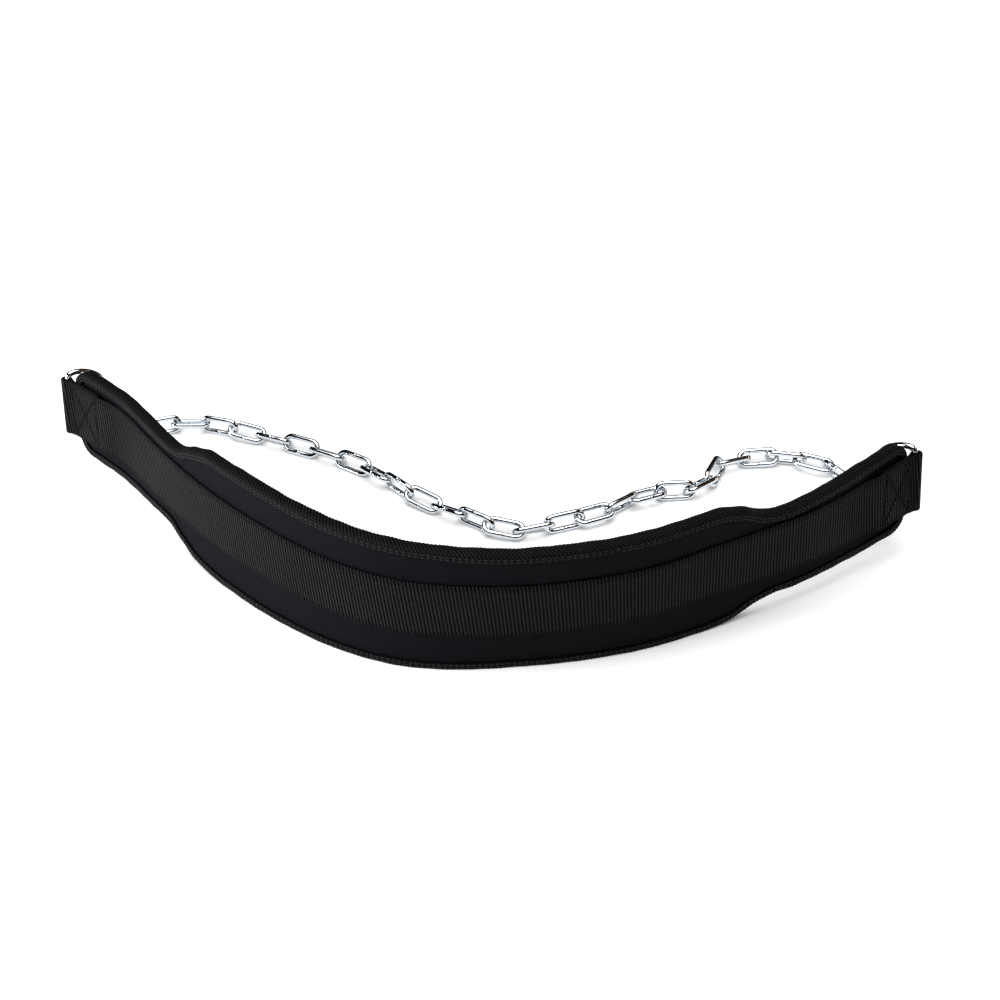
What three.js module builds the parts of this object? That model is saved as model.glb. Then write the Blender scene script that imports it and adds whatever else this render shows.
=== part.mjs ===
// Dip belt standing on its lower edge, with its chain lying behind it.
// Millimetres, +Z up, +X from the left ring to the right ring, -Y the outer face of the belt.
import * as THREE from 'three';

// Belt pad
const BELT_LENGTH = 792;
const UPPER_REACH = 56;
const LOWER_REACH = 61;
const CORNER_RADIUS = 16;
const PAD_THICKNESS = 6.5;

// Edge binding
const TAPE_THICKNESS = 1.2;
const TAPE_REACH = 7;
const TAPE_ROUNDING = 0.9;

// Webbing strap
const STRAP_WIDTH = 50;
const STRAP_THICKNESS = 2;
const TURN_BACK = 33;
const TURN_BACK_RAMP = 25;
const LOOP_DISTANCE = 7.4;

// D-rings
const RING_WIRE = 5;
const RING_DEPTH = 37;
const RING_CORNER = 4.5;
const RING_SIDE_ROOM = 1.2;
const RING_TURN = 78;
const RING_HOLD_ANGLE = -40;

// Chain and clasp
const LINK_WIRE = 4.5;
const LINK_INNER_LENGTH = 27.1;
const LINK_WIDTH = 17;
const CLASP_WIRE = 5;
const CLASP_INNER_LENGTH = 52;
const CLASP_WIDTH = 26;

// Gap kept between touching pieces, and how far the soft lower edge is pressed flat on the floor
const GAP = 0.3;
const FLOOR_PRESS = 0.6;

// Steps along the belt and round the wires
const PAD_STEPS = 66;
const CORNER_STEPS = 4;
const WIRE_SIDES = 6;
const RING_SIDES = 8;
const LINK_END_STEPS = 6;

// How the belt bends and leans, read at shares of its length.
// heading: direction of the belt seen from above, in degrees from the line between its ends.
// lean: tilt of the face in degrees, positive where the top edge leans outward.
const BEND_ROWS = [
  { along: 0.00, heading: -31.0, lean: -6.0 },
  { along: 0.05, heading: -34.0, lean: -5.8 },
  { along: 0.11, heading: -44.0, lean: -5.3 },
  { along: 0.18, heading: -41.5, lean: -4.3 },
  { along: 0.26, heading: -35.5, lean: -3.2 },
  { along: 0.34, heading: -29.5, lean: -1.5 },
  { along: 0.42, heading: -18.0, lean: 1.0 },
  { along: 0.50, heading: 2.0, lean: 3.8 },
  { along: 0.58, heading: 14.5, lean: 6.7 },
  { along: 0.66, heading: 23.5, lean: 6.0 },
  { along: 0.74, heading: 35.0, lean: 3.8 },
  { along: 0.82, heading: 35.3, lean: 1.3 },
  { along: 0.90, heading: 46.0, lean: -2.0 },
  { along: 1.00, heading: 49.5, lean: -9.0 },
];

// Outline of the belt above and below the middle of the strap, as shares of the two reaches.
const OUTLINE_ROWS = [
  { along: 0.000, upper: 0.650, lower: 0.665 },
  { along: 0.060, upper: 0.640, lower: 0.690 },
  { along: 0.130, upper: 0.655, lower: 0.670 },
  { along: 0.165, upper: 0.640, lower: 0.655 },
  { along: 0.190, upper: 0.675, lower: 0.790 },
  { along: 0.215, upper: 0.830, lower: 0.920 },
  { along: 0.250, upper: 0.980, lower: 0.975 },
  { along: 0.320, upper: 1.010, lower: 1.000 },
  { along: 0.640, upper: 0.970, lower: 1.000 },
  { along: 0.750, upper: 0.965, lower: 1.000 },
  { along: 0.785, upper: 0.855, lower: 0.940 },
  { along: 0.810, upper: 0.680, lower: 0.785 },
  { along: 0.835, upper: 0.615, lower: 0.710 },
  { along: 0.870, upper: 0.650, lower: 0.705 },
  { along: 0.940, upper: 0.675, lower: 0.685 },
  { along: 1.000, upper: 0.675, lower: 0.650 },
];

// Route of the chain from the clasp to the right ring, measured from the left end of the pad.
// lift: height above the floor where a link can't rest on it, twist: degrees that the chain has
// turned about itself, slack: share by which neighbouring links are pushed together.
const CHAIN_ROUTE = [
  { x: 37, y: 49, lift: 0, twist: 174, slack: 0.06 },
  { x: 56, y: 59, lift: 0, twist: 158, slack: 0.00 },
  { x: 82, y: 63, lift: 0, twist: 163, slack: 0.00 },
  { x: 105.5, y: 60, lift: 0, twist: 185, slack: 0.01 },
  { x: 129, y: 56, lift: 0, twist: 222, slack: 0.00 },
  { x: 188.5, y: 40.5, lift: 0, twist: 234, slack: 0.00 },
  { x: 233.5, y: 23.5, lift: 0, twist: 227, slack: 0.00 },
  { x: 278.5, y: -7.5, lift: 0, twist: 293, slack: 0.00 },
  { x: 298.5, y: -15.5, lift: 0, twist: 307, slack: 0.01 },
  { x: 323.5, y: -27, lift: 0, twist: 341, slack: 0.01 },
  { x: 349.5, y: -38, lift: 0, twist: 382, slack: 0.10 },
  { x: 373.5, y: -38, lift: 0, twist: 393, slack: 0.08 },
  { x: 396.5, y: -28, lift: 0, twist: 425, slack: 0.00 },
  { x: 442, y: -0.5, lift: 0, twist: 488, slack: 0.01 },
  { x: 455.5, y: 14.5, lift: 0, twist: 455, slack: 0.02 },
  { x: 479, y: 29, lift: 0, twist: 427, slack: 0.08 },
  { x: 505, y: 36, lift: 0, twist: 424, slack: 0.06 },
  { x: 521.5, y: 59.5, lift: 0, twist: 407, slack: 0.10 },
  { x: 526.5, y: 78.5, lift: 0, twist: 421, slack: 0.05 },
  { x: 572.5, y: 91, lift: 0, twist: 385, slack: 0.13 },
  { x: 612.5, y: 84, lift: 0, twist: 366, slack: 0.08 },
  { x: 628, y: 69, lift: 0, twist: 399, slack: 0.08 },
  { x: 646, y: 47.5, lift: 19.5, twist: 398, slack: 0.06 },
  { x: 647.5, y: 33, lift: 22, twist: 375, slack: 0.06 },
];

const COLOURS = {
  pad: { color: 0x17181c, roughness: 0.85, metalness: 0.0 },
  binding: { color: 0x101114, roughness: 0.8, metalness: 0.0 },
  webbing: { color: 0x1d1f20, roughness: 0.9, metalness: 0.0 },
  steel: { color: 0xc9ccd0, roughness: 0.2, metalness: 1.0 },
};

const radians = (degrees) => (degrees * Math.PI) / 180;

// Reads one column of a table at any share of its length, along smooth curves that don't overshoot.
function readRows(rows, column, along) {
  const last = rows.length - 1;
  const slopes = rows.slice(1).map((row, i) => {
    return (row[column] - rows[i][column]) / (row.along - rows[i].along);
  });
  const tangent = (i) => {
    if (i === 0) return slopes[0];
    if (i === last) return slopes[last - 1];
    const [before, after] = [slopes[i - 1], slopes[i]];
    return before * after <= 0 ? 0 : (2 * before * after) / (before + after);
  };
  const share = THREE.MathUtils.clamp(along, 0, 1);
  let i = 0;
  while (i < last - 1 && share > rows[i + 1].along) i += 1;
  const span = rows[i + 1].along - rows[i].along;
  const t = (share - rows[i].along) / span;
  return (
    (2 * t ** 3 - 3 * t ** 2 + 1) * rows[i][column] +
    (t ** 3 - 2 * t ** 2 + t) * span * tangent(i) +
    (3 * t ** 2 - 2 * t ** 3) * rows[i + 1][column] +
    (t ** 3 - t ** 2) * span * tangent(i + 1)
  );
}

// Plan curve of the belt's outer face, in even steps from the left end of the pad.
const PLAN_STEPS = 400;
const planPoints = [new THREE.Vector2(0, 0)];
for (let i = 1; i <= PLAN_STEPS; i += 1) {
  const heading = radians(readRows(BEND_ROWS, 'heading', (i - 0.5) / PLAN_STEPS));
  const step = new THREE.Vector2(Math.cos(heading), Math.sin(heading));
  planPoints.push(planPoints[i - 1].clone().addScaledVector(step, BELT_LENGTH / PLAN_STEPS));
}

// Axes of the belt at a distance from its left end: along it, out of its face and up its face.
function beltFrame(distance) {
  const heading = radians(readRows(BEND_ROWS, 'heading', distance / BELT_LENGTH));
  const lean = radians(readRows(BEND_ROWS, 'lean', distance / BELT_LENGTH));
  const place = THREE.MathUtils.clamp(distance / BELT_LENGTH, 0, 1) * PLAN_STEPS;
  const i = Math.min(Math.floor(place), PLAN_STEPS - 1);
  const plan = planPoints[i].clone().lerp(planPoints[i + 1], place - i);
  const beyond = distance - THREE.MathUtils.clamp(distance, 0, BELT_LENGTH);
  const tangent = new THREE.Vector3(Math.cos(heading), Math.sin(heading), 0);
  const level = new THREE.Vector3(Math.sin(heading), -Math.cos(heading), 0);
  const up = new THREE.Vector3(0, 0, Math.cos(lean)).addScaledVector(level, Math.sin(lean));
  const outward = new THREE.Vector3(0, 0, -Math.sin(lean)).addScaledVector(level, Math.cos(lean));
  const height = LOWER_REACH * Math.cos(lean) - FLOOR_PRESS;
  const origin = new THREE.Vector3(plan.x, plan.y, height).addScaledVector(tangent, beyond);
  return { origin, tangent, outward, up };
}

// Point of the belt at a distance along it, a rise up its face and a depth out of its face.
function beltPoint(distance, rise, depth) {
  const { origin, outward, up } = beltFrame(distance);
  const point = origin.addScaledVector(up, rise).addScaledVector(outward, depth);
  point.z = Math.max(point.z, 0);
  return point;
}

// Closed mesh from rows of points round a body, with flat ends unless the rows close on themselves.
function loft(rows, closesOnItself) {
  const sides = rows[0].length;
  const positions = rows.flat().flatMap((p) => [p.x, p.y, p.z]);
  const index = [];
  const spans = closesOnItself ? rows.length : rows.length - 1;
  for (let i = 0; i < spans; i += 1) {
    const next = (i + 1) % rows.length;
    for (let j = 0; j < sides; j += 1) {
      const k = (j + 1) % sides;
      const [a, b, c, d] = [i * sides + j, i * sides + k, next * sides + k, next * sides + j];
      index.push(a, b, c, a, c, d);
    }
  }
  if (!closesOnItself) {
    const end = (rows.length - 1) * sides;
    for (let j = 1; j < sides - 1; j += 1) {
      index.push(0, j + 1, j);
      index.push(end, end + j, end + j + 1);
    }
  }
  return solid(positions, index);
}

// Geometry from points and triangles, turned so that its faces point out.
function solid(positions, index) {
  const corner = (i) => new THREE.Vector3().fromArray(positions, 3 * i);
  let volume = 0;
  for (let i = 0; i < index.length; i += 3) {
    volume += corner(index[i]).dot(corner(index[i + 1]).cross(corner(index[i + 2])));
  }
  if (volume < 0) index.reverse();
  const geometry = new THREE.BufferGeometry();
  geometry.setAttribute('position', new THREE.Float32BufferAttribute(positions, 3));
  geometry.setIndex(index);
  geometry.computeVertexNormals();
  return geometry;
}

function mesh(name, geometry, look) {
  const material = new THREE.MeshStandardMaterial(COLOURS[look]);
  const piece = new THREE.Mesh(geometry, material);
  piece.name = name;
  return piece;
}

// Distances along the belt, closer together in the rounded corners at its ends.
function stepsAlong() {
  const steps = [];
  for (let i = 0; i < CORNER_STEPS; i += 1) {
    const quarter = (i / CORNER_STEPS) * (Math.PI / 2);
    steps.push(CORNER_RADIUS * (1 - Math.cos(quarter)));
  }
  const straight = BELT_LENGTH - 2 * CORNER_RADIUS;
  for (let i = 0; i <= PAD_STEPS; i += 1) {
    steps.push(CORNER_RADIUS + (straight * i) / PAD_STEPS);
  }
  const mirrored = steps.slice(0, CORNER_STEPS).reverse().map((step) => BELT_LENGTH - step);
  return steps.concat(mirrored);
}

// Height of the belt's edge above or below the strap's middle, with rounded corners at the ends.
function edgeReach(side, distance) {
  const full = side === 'upper' ? UPPER_REACH : LOWER_REACH;
  const reach = readRows(OUTLINE_ROWS, side, distance / BELT_LENGTH) * full;
  const fromEnd = Math.min(distance, BELT_LENGTH - distance);
  const short = Math.max(CORNER_RADIUS - fromEnd, 0);
  return reach - CORNER_RADIUS + Math.sqrt(CORNER_RADIUS ** 2 - short ** 2);
}

// Edge of the belt as a closed line, over the top and back along the bottom. Each place can be
// moved in from the edge.
function edgeLine() {
  const steps = stepsAlong();
  const upper = steps.map((distance) => [distance, edgeReach('upper', distance)]);
  const lower = steps.map((distance) => [distance, -edgeReach('lower', distance)]);
  const line = upper.concat(lower.reverse()).map(([x, y]) => new THREE.Vector2(x, y));
  return line.map((point, i) => {
    const before = line[(i + line.length - 1) % line.length];
    const after = line[(i + 1) % line.length];
    const arrive = point.clone().sub(before).normalize();
    const leave = after.clone().sub(point).normalize();
    const way = arrive.add(leave).normalize();
    const inward = new THREE.Vector2(way.y, -way.x);
    return (into) => point.clone().addScaledVector(inward, into);
  });
}

// Padded core, with its long edges softened.
function makePad() {
  const inset = TAPE_THICKNESS + GAP;
  const soft = PAD_THICKNESS / 4;
  const section = [
    ['bottom', inset + soft, 0],
    ['strap', -STRAP_WIDTH / 2, 0],
    ['strap', STRAP_WIDTH / 2, 0],
    ['top', inset + soft, 0],
    ['top', inset, -soft],
    ['top', inset, soft - PAD_THICKNESS],
    ['top', inset + soft, -PAD_THICKNESS],
    ['bottom', inset + soft, -PAD_THICKNESS],
    ['bottom', inset, soft - PAD_THICKNESS],
    ['bottom', inset, -soft],
  ];
  const line = edgeLine();
  const rows = stepsAlong().map((distance, i) => {
    const places = {
      top: line[i],
      bottom: line[line.length - 1 - i],
      strap: (rise) => new THREE.Vector2(line[i](inset).x, rise),
    };
    return section.map(([part, offset, depth]) => {
      const place = places[part](offset);
      return beltPoint(place.x, place.y, depth);
    });
  });
  return mesh('belt_pad', loft(rows, false), 'pad');
}

// Twill tape folded round the edge of the pad, as one ring with a U section.
function makeBinding() {
  const front = GAP + TAPE_THICKNESS;
  const back = -(PAD_THICKNESS + GAP + TAPE_THICKNESS);
  const section = [
    [TAPE_REACH, front],
    [TAPE_ROUNDING, front],
    [0, front - TAPE_ROUNDING],
    [0, back + TAPE_ROUNDING],
    [TAPE_ROUNDING, back],
    [TAPE_REACH, back],
    [TAPE_REACH, back + TAPE_THICKNESS],
    [TAPE_THICKNESS, back + TAPE_THICKNESS],
    [TAPE_THICKNESS, front - TAPE_THICKNESS],
    [TAPE_REACH, front - TAPE_THICKNESS],
  ];
  const rows = edgeLine().map((edge) => {
    return section.map(([into, depth]) => {
      const place = edge(into);
      return beltPoint(place.x, place.y, depth);
    });
  });
  return mesh('edge_binding', loft(rows, true), 'binding');
}

// Depths of the strap's inner and outer faces at a distance in from either end of the pad.
function strapDepths(fromEnd) {
  const overTape = TAPE_THICKNESS + 2 * GAP;
  if (fromEnd <= TURN_BACK) return [overTape, overTape + 2 * STRAP_THICKNESS];
  const t = THREE.MathUtils.smoothstep(fromEnd, TURN_BACK, TURN_BACK + TURN_BACK_RAMP);
  const inner = THREE.MathUtils.lerp(overTape + STRAP_THICKNESS, GAP, t);
  return [inner, inner + STRAP_THICKNESS];
}

// Depth of the middle of the loop that the strap makes round a ring's bar.
const loopDepth = TAPE_THICKNESS + 2 * GAP + STRAP_THICKNESS;
const eyeRadius = RING_WIRE / 2 + GAP;
const loopRadius = eyeRadius + STRAP_THICKNESS;

// Strap seen along its width: a line of distances from the end and depths for one half of it.
function strapHalf() {
  const loopX = -LOOP_DISTANCE;
  const shoulder = radians(48);
  const outer = [];
  const inner = [];
  const arcSteps = 6;
  for (let i = 0; i <= arcSteps; i += 1) {
    const angle = Math.PI - (i / arcSteps) * (Math.PI - shoulder);
    outer.push([loopX + loopRadius * Math.cos(angle), loopDepth + loopRadius * Math.sin(angle)]);
    if (i > 0) {
      inner.push([loopX + loopRadius * Math.cos(angle), loopDepth - loopRadius * Math.sin(angle)]);
    }
  }
  const steps = stepsAlong();
  const sewn = steps.filter((away) => away < TURN_BACK - GAP);
  const single = steps.filter((away) => away > TURN_BACK + GAP && away < BELT_LENGTH / 2 + GAP);
  [...sewn, TURN_BACK, TURN_BACK + GAP, ...single].forEach((away) => {
    const [low, high] = strapDepths(away);
    if (away !== TURN_BACK) outer.push([away, high]);
    inner.push([away, low]);
  });
  return { outer, inner };
}

// Webbing strap with a closed loop at each end, where its end is turned back and sewn down.
function makeStrap() {
  const { outer, inner } = strapHalf();
  const other = ([distance, depth]) => [BELT_LENGTH - distance, depth];
  const profile = [
    ...outer,
    ...outer.slice(0, -1).reverse().map(other),
    ...inner.map(other),
    ...inner.slice(0, -1).reverse(),
  ].map(([x, y]) => new THREE.Vector2(x, y));
  const eyes = [-LOOP_DISTANCE, BELT_LENGTH + LOOP_DISTANCE].map((middle) => {
    const hole = new THREE.Shape().absarc(middle, loopDepth, eyeRadius * 1.06, 0, 2 * Math.PI);
    return hole.getSpacedPoints(10).slice(0, -1);
  });
  const outline = THREE.ShapeUtils.isClockWise(profile) ? profile.reverse() : profile;
  const holes = eyes.map((eye) => (THREE.ShapeUtils.isClockWise(eye) ? eye : eye.reverse()));
  const inPlan = ({ x, y }) => {
    const point = beltPoint(x, 0, y);
    return new THREE.Vector2(point.x, point.y);
  };
  const planHoles = holes.map((hole) => hole.map(inPlan));
  const caps = THREE.ShapeUtils.triangulateShape(outline.map(inPlan), planHoles);
  const loops = [outline, ...holes];
  const flat = loops.flat();
  const positions = [];
  [-STRAP_WIDTH / 2, STRAP_WIDTH / 2].forEach((rise) => {
    flat.forEach(({ x, y }) => positions.push(...beltPoint(x, rise, y).toArray()));
  });
  const index = caps.flatMap(([a, b, c]) => {
    return [a, c, b, a + flat.length, b + flat.length, c + flat.length];
  });
  let first = 0;
  loops.forEach((line) => {
    line.forEach((point, i) => {
      const a = first + i;
      const b = first + ((i + 1) % line.length);
      index.push(b, a, b + flat.length, a, a + flat.length, b + flat.length);
    });
    first += line.length;
  });
  return mesh('webbing_strap', solid(positions, index), 'webbing');
}

// Round bar bent along a closed line in its own XY plane.
function bentWire(line, wire, sides) {
  const rows = line.map((point, i) => {
    const before = line[(i + line.length - 1) % line.length];
    const after = line[(i + 1) % line.length];
    const way = after.clone().sub(before).normalize();
    const across = new THREE.Vector2(way.y, -way.x);
    return Array.from({ length: sides }, (_, j) => {
      const angle = ((j + 0.5) / sides) * 2 * Math.PI;
      const out = (wire / 2) * Math.cos(angle);
      return new THREE.Vector3(
        point.x + across.x * out,
        point.y + across.y * out,
        (wire / 2) * Math.sin(angle),
      );
    });
  });
  return loft(rows, true);
}

// Line along the middle of a long link with round ends: X along it, Y across it.
function linkLine(innerLength, width, wire, endSteps) {
  const radius = (width - wire) / 2;
  const toCentre = (innerLength + wire) / 2 - radius;
  const line = [];
  [0, Math.PI].forEach((turn) => {
    for (let i = 0; i <= endSteps; i += 1) {
      const angle = turn - Math.PI / 2 + (i / endSteps) * Math.PI;
      const x = radius * Math.cos(angle) + toCentre * Math.cos(turn);
      line.push(new THREE.Vector2(x, radius * Math.sin(angle)));
    }
  });
  return line;
}

// Half height of the ring's middle line, and a point on its bow at an angle from its middle.
const ringHalf = STRAP_WIDTH / 2 + RING_SIDE_ROOM + RING_WIRE / 2;
function ringBow(degrees) {
  const angle = radians(degrees);
  const depth = RING_DEPTH - RING_WIRE / 2 - RING_CORNER;
  return new THREE.Vector2(RING_CORNER + depth * Math.cos(angle), ringHalf * Math.sin(angle));
}

// Middle line of the D-ring: X away from its straight bar, Y along the bar.
function ringLine() {
  const line = [];
  const barHalf = ringHalf - RING_CORNER;
  const cornerSteps = 3;
  for (let i = 0; i <= cornerSteps; i += 1) {
    const angle = Math.PI + (i / cornerSteps) * (Math.PI / 2);
    const x = RING_CORNER * (1 + Math.cos(angle));
    line.push(new THREE.Vector2(x, -barHalf + RING_CORNER * Math.sin(angle)));
  }
  const bowSteps = 14;
  for (let i = 1; i < bowSteps; i += 1) line.push(ringBow(-90 + (180 * i) / bowSteps));
  const upper = line.slice(0, cornerSteps + 1).reverse();
  upper.forEach((point) => line.push(new THREE.Vector2(point.x, -point.y)));
  return line;
}

// Place and axes of the ring at one end: X away from its bar, Y up the bar.
function ringPlace(end) {
  const distance = end === 'left' ? -LOOP_DISTANCE : BELT_LENGTH + LOOP_DISTANCE;
  const { origin, tangent, outward, up } = beltFrame(distance);
  const inward = tangent.clone().multiplyScalar(end === 'left' ? 1 : -1);
  const turn = radians(RING_TURN);
  const away = inward.multiplyScalar(Math.cos(turn)).addScaledVector(outward, -Math.sin(turn));
  const centre = origin.addScaledVector(outward, loopDepth);
  return { centre, away, up };
}

function placeOnAxes(piece, centre, alongX, alongY) {
  const alongZ = new THREE.Vector3().crossVectors(alongX, alongY);
  const turn = new THREE.Matrix4().makeBasis(alongX, alongY, alongZ);
  piece.quaternion.setFromRotationMatrix(turn);
  piece.position.copy(centre);
  return piece;
}

function makeRing(end) {
  const { centre, away, up } = ringPlace(end);
  const ring = mesh(`ring_${end}`, bentWire(ringLine(), RING_WIRE, RING_SIDES), 'steel');
  return placeOnAxes(ring, centre, away, up);
}

// Middle of the ring's wire where the chain or its clasp hangs on it.
function ringHold(end) {
  const { centre, away, up } = ringPlace(end);
  const hold = ringBow(RING_HOLD_ANGLE);
  return centre.clone().addScaledVector(away, hold.x).addScaledVector(up, hold.y);
}

// Axes of a link between two joints, rolled about its length: 0 lies flat, 90 stands on edge.
function linkAxes(from, to, roll) {
  const along = to.clone().sub(from).normalize();
  const level = new THREE.Vector3(-along.y, along.x, 0).normalize();
  const raised = new THREE.Vector3().crossVectors(along, level);
  const across = level.multiplyScalar(Math.cos(radians(roll)));
  across.addScaledVector(raised, Math.sin(radians(roll)));
  return { along, across };
}

// Height of a link's middle when it rests on the floor at a roll.
function restHeight(roll) {
  const rise = ((LINK_WIDTH - LINK_WIRE) / 2) * Math.abs(Math.sin(radians(roll)));
  return rise + LINK_WIRE / 2;
}

// Inner end of the clasp at the left ring, and the joint that it makes with the first link.
function claspEnds() {
  const ring = ringHold('left');
  const [first, second] = CHAIN_ROUTE;
  const roll = first.twist + 90;
  const joint = new THREE.Vector3(first.x, first.y, restHeight(roll));
  const reach = CLASP_INNER_LENGTH - RING_WIRE / 2 - 1.5 * GAP;
  const level = Math.sqrt(reach ** 2 - (ring.z - joint.z) ** 2);
  const ahead = new THREE.Vector2(second.x - first.x, second.y - first.y).normalize();
  const away = new THREE.Vector2(joint.x - ring.x, joint.y - ring.y);
  const sideways = away.cross(ahead);
  const lead = Math.sqrt(level ** 2 - sideways ** 2) - away.dot(ahead);
  joint.x += ahead.x * lead;
  joint.y += ahead.y * lead;
  const along = joint.clone().sub(ring).normalize();
  const start = ring.clone().addScaledVector(along, -(RING_WIRE / 2 + GAP));
  return { start, joint, along };
}

// Joints between the links, laid along the route with the last one inside the right ring. With an
// even number of links, the first fits the clasp and the last fits the ring.
function chainJoints() {
  const ring = ringHold('right');
  const last = CHAIN_ROUTE[CHAIN_ROUTE.length - 1];
  const climb = new THREE.Vector3(ring.x - last.x, ring.y - last.y, ring.z - last.lift).normalize();
  const end = ring.clone().addScaledVector(climb, RING_WIRE / 2 + GAP);
  const points = CHAIN_ROUTE.map(({ x, y, lift }) => new THREE.Vector3(x, y, lift));
  points[0].copy(claspEnds().joint);
  const curve = new THREE.CatmullRomCurve3([...points, end], false, 'centripetal');
  const samples = 600;
  const trail = [];
  let pitches = 0;
  for (let i = 0; i <= samples; i += 1) {
    const point = curve.getPoint(i / samples);
    const row = (i / samples) * CHAIN_ROUTE.length;
    const low = CHAIN_ROUTE[Math.min(Math.floor(row), CHAIN_ROUTE.length - 1)];
    const high = CHAIN_ROUTE[Math.min(Math.floor(row) + 1, CHAIN_ROUTE.length - 1)];
    const part = row - Math.floor(row);
    const slack = THREE.MathUtils.lerp(low.slack, high.slack, part);
    const twist = THREE.MathUtils.lerp(low.twist, high.twist, part);
    const step = i === 0 ? 0 : point.distanceTo(trail[i - 1].point);
    pitches += step / ((LINK_INNER_LENGTH - GAP) * (1 - slack));
    trail.push({ point, twist, pitches });
  }
  const count = 2 * Math.ceil(pitches / 2);
  return Array.from({ length: count + 1 }, (_, k) => {
    const wanted = (pitches * k) / count;
    const i = Math.max(trail.findIndex((place) => place.pitches >= wanted - 1e-9), 1);
    const [low, high] = [trail[i - 1], trail[i]];
    const part = (wanted - low.pitches) / (high.pitches - low.pitches);
    const point = low.point.clone().lerp(high.point, part);
    return { point, twist: THREE.MathUtils.lerp(low.twist, high.twist, part) };
  });
}

function makeChain() {
  const joints = chainJoints();
  const rolls = joints.slice(1).map((joint, i) => {
    return (joint.twist + joints[i].twist) / 2 + 90 * (i + 1);
  });
  joints.forEach(({ point }, i) => {
    const neighbours = rolls.slice(Math.max(i - 1, 0), i + 1);
    point.z = Math.max(point.z, ...neighbours.map(restHeight));
  });
  const line = linkLine(LINK_INNER_LENGTH, LINK_WIDTH, LINK_WIRE, LINK_END_STEPS);
  return rolls.map((roll, i) => {
    const [from, to] = [joints[i].point, joints[i + 1].point];
    const { along, across } = linkAxes(from, to, roll);
    const name = `chain_link_${String(i + 1).padStart(2, '0')}`;
    const link = mesh(name, bentWire(line, LINK_WIRE, WIRE_SIDES), 'steel');
    return placeOnAxes(link, from.clone().lerp(to, 0.5), along, across);
  });
}

// Oval clasp from the left ring to the first link.
function makeClasp() {
  const { start, along } = claspEnds();
  const centre = start.clone().addScaledVector(along, CLASP_INNER_LENGTH / 2);
  const across = new THREE.Vector3(-along.y, along.x, 0).normalize();
  const line = linkLine(CLASP_INNER_LENGTH, CLASP_WIDTH, CLASP_WIRE, LINK_END_STEPS);
  const clasp = mesh('chain_clasp', bentWire(line, CLASP_WIRE, WIRE_SIDES), 'steel');
  return placeOnAxes(clasp, centre, along, across);
}

const group = new THREE.Group();
group.add(makePad(), makeBinding(), makeStrap());
group.add(makeRing('left'), makeRing('right'), makeClasp(), ...makeChain());

// The origin is the middle of the underside of the whole object.
const box = new THREE.Box3().setFromObject(group, true);
const middle = box.getCenter(new THREE.Vector3());
group.position.set(-middle.x, -middle.y, -box.min.z);

export default group;
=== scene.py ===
import math

import bmesh
import bpy
import numpy as np
from bpy.props import FloatProperty, FloatVectorProperty, IntProperty, PointerProperty
from mathutils import Matrix, Vector


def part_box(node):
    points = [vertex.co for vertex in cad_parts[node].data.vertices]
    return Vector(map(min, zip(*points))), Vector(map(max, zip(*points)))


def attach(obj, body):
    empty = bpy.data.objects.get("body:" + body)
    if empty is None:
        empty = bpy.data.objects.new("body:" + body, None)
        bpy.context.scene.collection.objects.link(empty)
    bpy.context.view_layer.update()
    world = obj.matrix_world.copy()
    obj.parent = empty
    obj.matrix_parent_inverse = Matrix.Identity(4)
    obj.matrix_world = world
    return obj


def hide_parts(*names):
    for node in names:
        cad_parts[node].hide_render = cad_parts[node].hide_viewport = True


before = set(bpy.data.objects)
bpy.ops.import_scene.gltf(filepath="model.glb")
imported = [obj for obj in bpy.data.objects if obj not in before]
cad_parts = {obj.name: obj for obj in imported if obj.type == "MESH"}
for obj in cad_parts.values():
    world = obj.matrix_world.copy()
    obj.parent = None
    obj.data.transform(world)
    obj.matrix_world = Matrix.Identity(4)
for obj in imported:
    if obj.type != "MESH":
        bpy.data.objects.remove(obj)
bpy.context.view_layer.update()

bl_info = {
    "name": "Dip Belt",
    "version": (1, 0, 0),
    "blender": (4, 5, 0),
    "location": "3D View > Sidebar > Dip Belt",
    "description": "Dresses a padded dip belt and its chain on their packed frame",
    "category": "Add Mesh",
}

# Sizes in metres. Belt pad and its edge tape
BELT_LENGTH = 0.792
UPPER_REACH = 0.056
LOWER_REACH = 0.061
CORNER_RADIUS = 0.016
PAD_THICKNESS = 0.0065
TAPE_THICKNESS = 0.0012
TAPE_REACH = 0.007
GAP = 0.0003
FLOOR_PRESS = 0.0006

# How far the tape laps over the foam, and the foam's seams beside the band and on its back
TAPE_LAP = 0.0004
SEAM_ROOM = 0.0006
BACK_SEAM_DEPTH = 0.0007
BACK_SEAM_WIDTH = 0.0022
BACK_SEAM_HELD = 0.0016

# Webbing band and the loops that hold the rings
BAND_WIDTH = 0.050
BAND_THICKNESS = 0.002
BAND_EDGE = 0.0009
BAND_SWAY = 0.00035
BAND_WAVE = 0.00012
TURN_BACK = 0.033
TURN_BACK_RAMP = 0.025
LOOP_DISTANCE = 0.0074
LOOP_DEPTH = TAPE_THICKNESS + 2 * GAP + BAND_THICKNESS

# Lines sewn through the band: in from its edges, and the crossed boxes in from the pad's ends
SEAM_IN = 0.0024
BOX_NEAR = 0.0012
BOX_FAR = TURN_BACK - 0.0015
GROOVE_WIDTH = 0.0009
GROOVE_DEPTH = 0.0006

# Ribs of the edge tape, its fold and hems, and its two seams in from the belt's edge
TAPE_SLANT = 0.7
TAPE_RIB = 0.0004
TAPE_FOLD = 0.0018
TAPE_HEM = 0.00045
TAPE_SEAM = 0.0054
TAPE_FOLD_SEAM = 0.0030
TAPE_SEAM_WIDTH = 0.0008
TAPE_PULL = 0.00022
TAPE_WANDER = 0.0004
TAPE_LUMPS = 0.0005

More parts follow.
